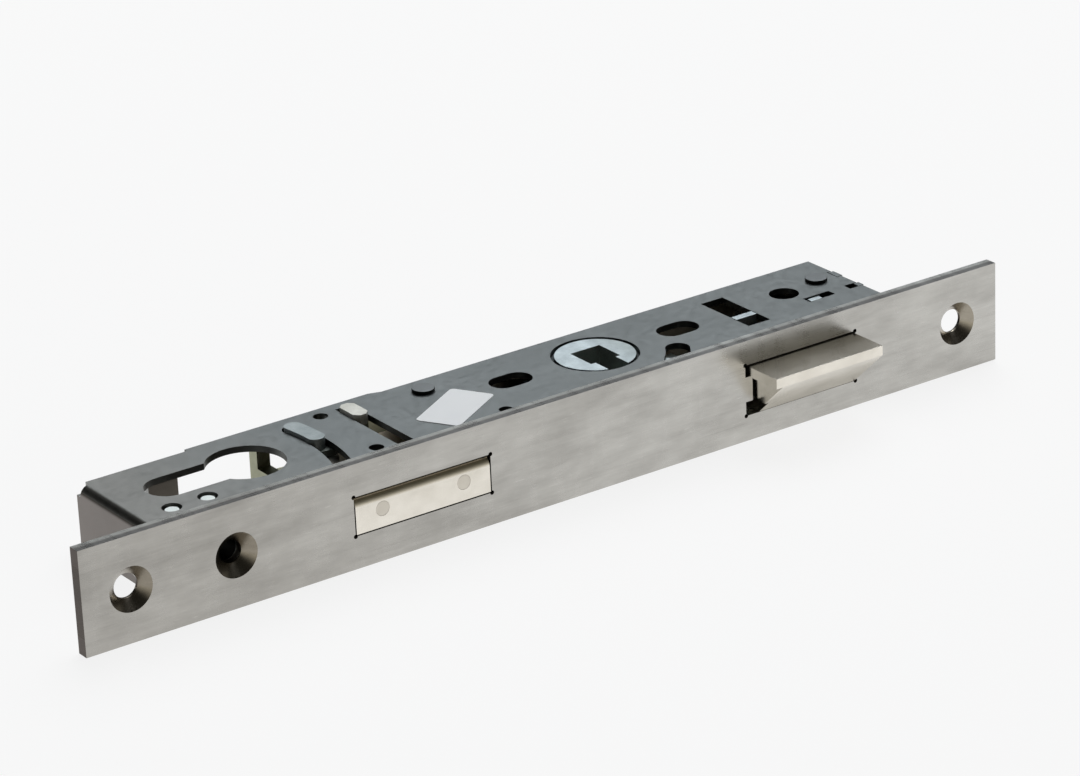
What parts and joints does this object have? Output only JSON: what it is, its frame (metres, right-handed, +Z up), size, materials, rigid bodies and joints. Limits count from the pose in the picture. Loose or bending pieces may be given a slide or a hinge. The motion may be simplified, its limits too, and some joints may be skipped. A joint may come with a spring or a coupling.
{
  "type": "mortise sashlock",
  "caption": "Mortise sashlock for narrow-stile doors: flat forend, sprung bevelled latch, square-ended deadbolt, spindle follower and profile-cylinder opening.",
  "frame": {"origin": "on the forend's front face, level with the follower's axis, at the middle of the case's thickness", "axes": "+X along the forend towards the latch end, +Y into the door, +Z up through the case's cover, the lock lying on its side"},
  "size_m": [0.2431, 0.0497, 0.024],
  "materials": {
    "forend": "brushed lengthwise, satin",
    "case": "satin zinc-plated sheet",
    "zinc": "matt zinc casting",
    "nickel": "satin nickel",
    "pin": "ground",
    "spring": "drawn wire",
    "label": "matt, blank"
  },
  "bodies": {
    "case": {"forend": "forend", "case_body": "case", "case_cover": "case", "case_rivets": "case", "cylinder_screw_block": "zinc", "label": "label", "latch_guide": "zinc", "latch_spring": "spring", "latch_spring_peg": "pin", "follower_spring": "spring", "follower_spring_peg": "pin"},
    "deadbolt": {"deadbolt": "nickel", "deadbolt_pins": "pin", "deadbolt_tail": "nickel", "deadbolt_rivets": "pin", "tumbler_spring": "spring"},
    "tumbler": {"tumbler": "zinc"},
    "follower": {"follower": "zinc"},
    "latch": {"latch_bolt": "nickel", "latch_tail": "zinc", "latch_rivets": "pin"}
  },
  "joints": [
    {"name": "deadbolt_throw", "type": "slide", "parent": "case", "child": "deadbolt", "axis": [0, -1, 0], "range_m": [0, 0.017], "deforming": ["tumbler_spring"]},
    {"name": "tumbler_swing", "type": "hinge", "parent": "case", "child": "tumbler", "pos_m": [-0.1209, 0.025, 0], "axis": [0, 0, 1], "range_deg": [-20.54, 0]},
    {"name": "follower_turn", "type": "hinge", "parent": "case", "child": "follower", "pos_m": [0, 0.025, 0], "axis": [0, 0, 1], "range_deg": [0, 42], "deforming": ["follower_spring"]},
    {"name": "latch_slide", "type": "slide", "parent": "case", "child": "latch", "axis": [0, 1, 0], "range_m": [0, 0.0105], "stiffness_N_per_m": 200, "springref_m": -0.01, "deforming": ["latch_spring"]}
  ],
  "couplings": [
    {"joint": "tumbler_swing", "follows": "deadbolt_throw", "rad_per_m": -21.08},
    {"joint": "follower_turn", "follows": "latch_slide", "rad_per_m": 69.81}
  ]
}
